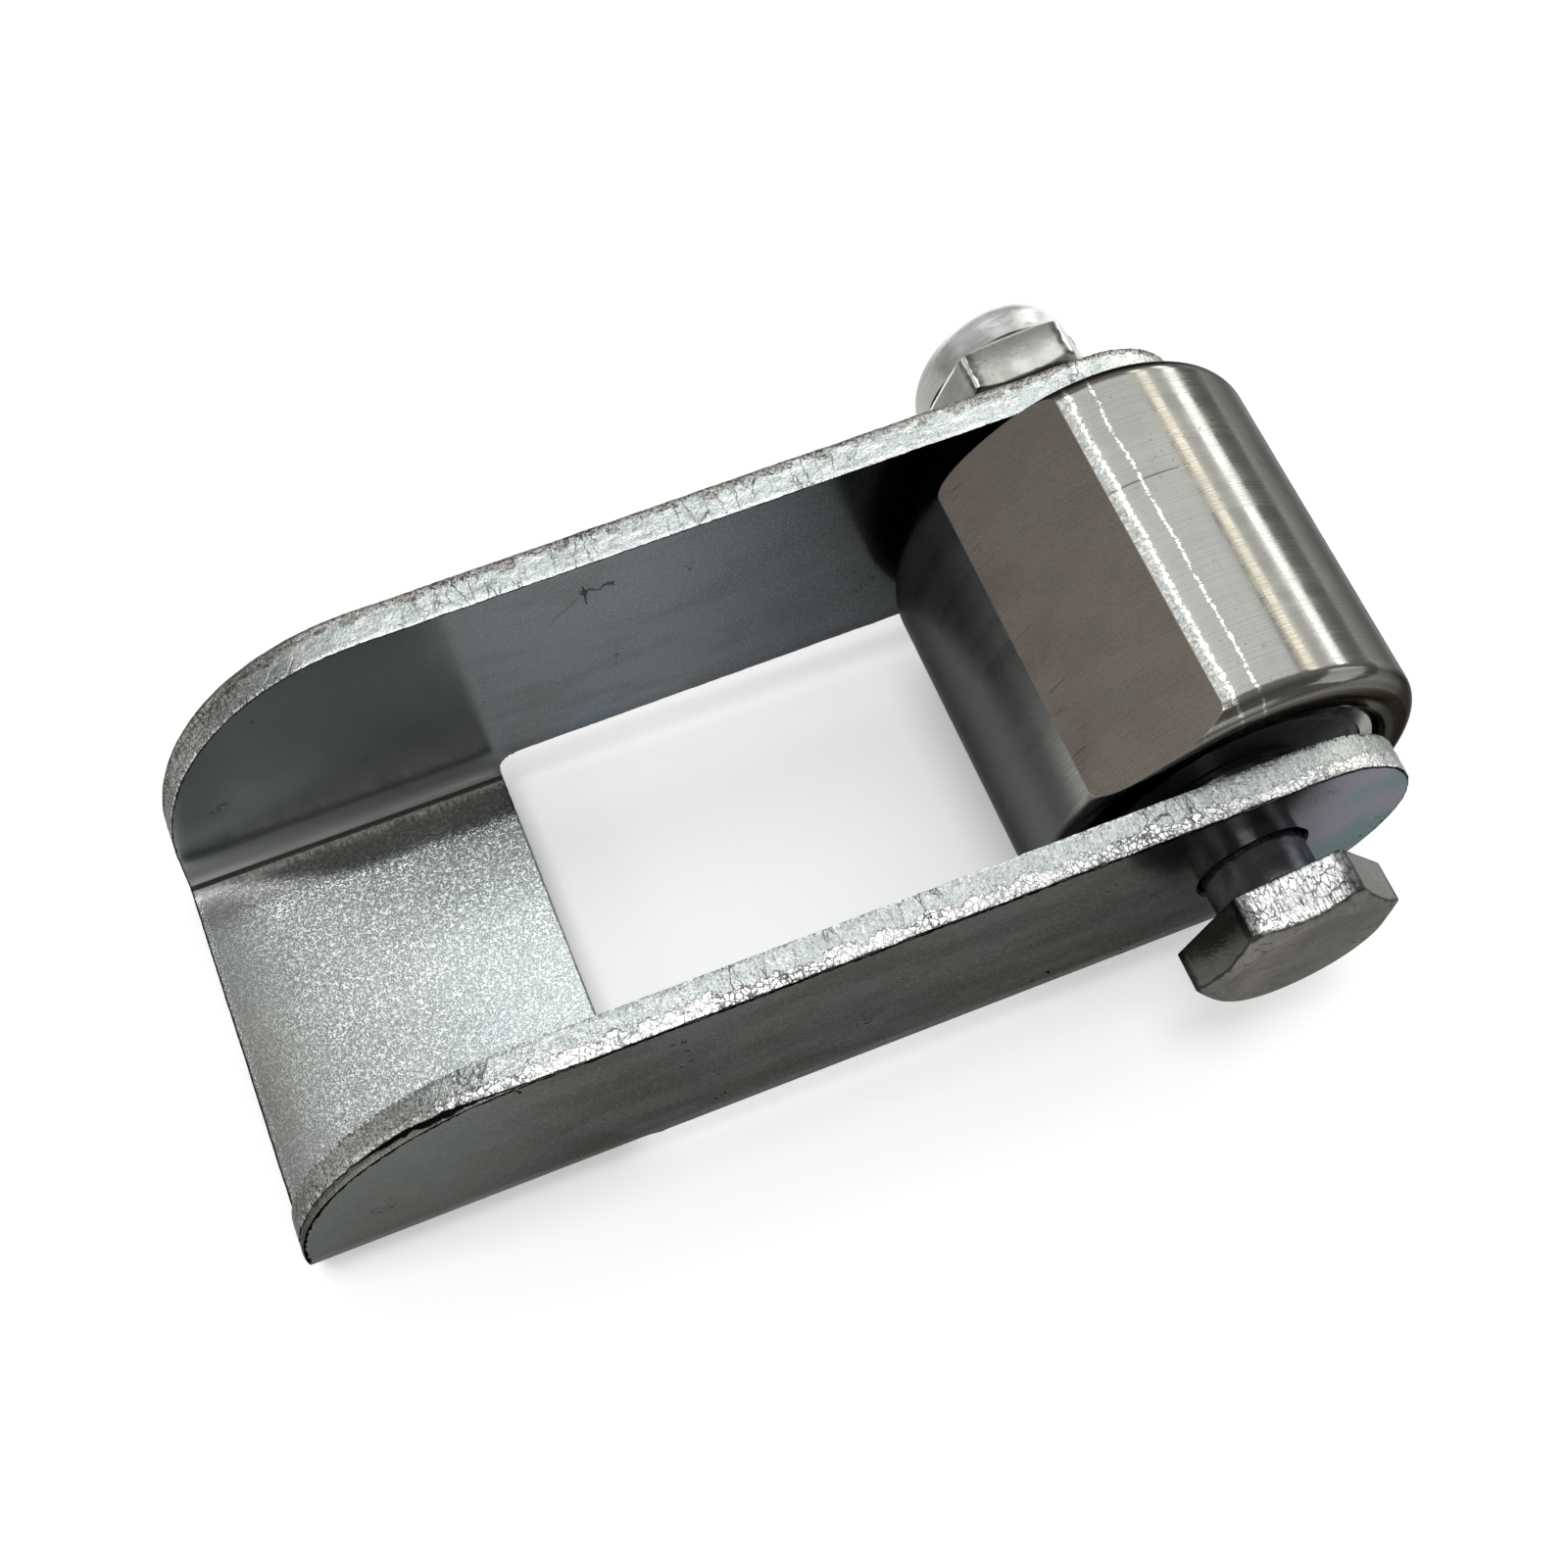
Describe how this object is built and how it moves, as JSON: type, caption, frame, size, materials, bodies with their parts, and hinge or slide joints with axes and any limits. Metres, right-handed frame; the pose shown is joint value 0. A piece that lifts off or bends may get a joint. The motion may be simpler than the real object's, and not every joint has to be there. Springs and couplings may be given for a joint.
{
  "type": "hinge",
  "caption": "Weld-on gate hinge: a folded steel yoke carries a barrel with a milled weld flat, which turns freely on sealed ball bearings over a loose hex bolt with a lock nut.",
  "frame": {"origin": "middle of the web's underside", "axes": "+X from the web towards the pivot, +Y along the bolt from its head to its nut, +Z from the web up the arms"},
  "size_m": [0.114, 0.0718, 0.0374],
  "materials": {
    "zinc_sheet": "bright zinc plate on folded sheet, fine bright grain on the web",
    "zinc_barrel": "turned, bright zinc plate, milled flat left darker",
    "zinc_bolt": "bright zinc plate",
    "bearing_steel": "ground",
    "ball_steel": "polished",
    "cage_steel": "pressed strip",
    "sleeve_steel": "turned, oiled",
    "seal_rubber": "moulded nitrile",
    "nylon": "natural nylon"
  },
  "bodies": {
    "yoke": {"yoke": "zinc_sheet"},
    "bolt_set": {"bolt": "zinc_bolt", "lock_nut": "zinc_bolt", "nut_insert": "nylon"},
    "bearing_core": {"near_inner_ring": "bearing_steel", "far_inner_ring": "bearing_steel", "spacer_sleeve": "sleeve_steel"},
    "barrel_set": {"barrel": "zinc_barrel", "near_outer_ring": "bearing_steel", "far_outer_ring": "bearing_steel", "near_outer_seal": "seal_rubber", "near_inner_seal": "seal_rubber", "far_outer_seal": "seal_rubber", "far_inner_seal": "seal_rubber"},
    "near_ball_set": {"near_balls": "ball_steel", "near_cage_left": "cage_steel", "near_cage_right": "cage_steel", "near_cage_rivets": "cage_steel"},
    "far_ball_set": {"far_balls": "ball_steel", "far_cage_left": "cage_steel", "far_cage_right": "cage_steel", "far_cage_rivets": "cage_steel"}
  },
  "joints": [
    {"name": "bolt_slide", "type": "slide", "parent": "yoke", "child": "bolt_set", "axis": [0, 1, 0], "range_m": [-0.0032, 0.0045]},
    {"name": "barrel_float", "type": "slide", "parent": "yoke", "child": "bearing_core", "axis": [0, 1, 0], "range_m": [-0.0018, 0.0026]},
    {"name": "barrel_spin", "type": "hinge", "parent": "bearing_core", "child": "barrel_set", "pos_m": [0.0783, 0, 0.0153], "axis": [0, 1, 0], "continuous": true},
    {"name": "near_ball_orbit", "type": "hinge", "parent": "bearing_core", "child": "near_ball_set", "pos_m": [0.0783, 0, 0.0153], "axis": [0, 1, 0], "continuous": true},
    {"name": "far_ball_orbit", "type": "hinge", "parent": "bearing_core", "child": "far_ball_set", "pos_m": [0.0783, 0, 0.0153], "axis": [0, 1, 0], "continuous": true}
  ],
  "couplings": [
    {"joint": "near_ball_orbit", "follows": "barrel_spin", "ratio": 0.619},
    {"joint": "far_ball_orbit", "follows": "barrel_spin", "ratio": 0.619}
  ]
}
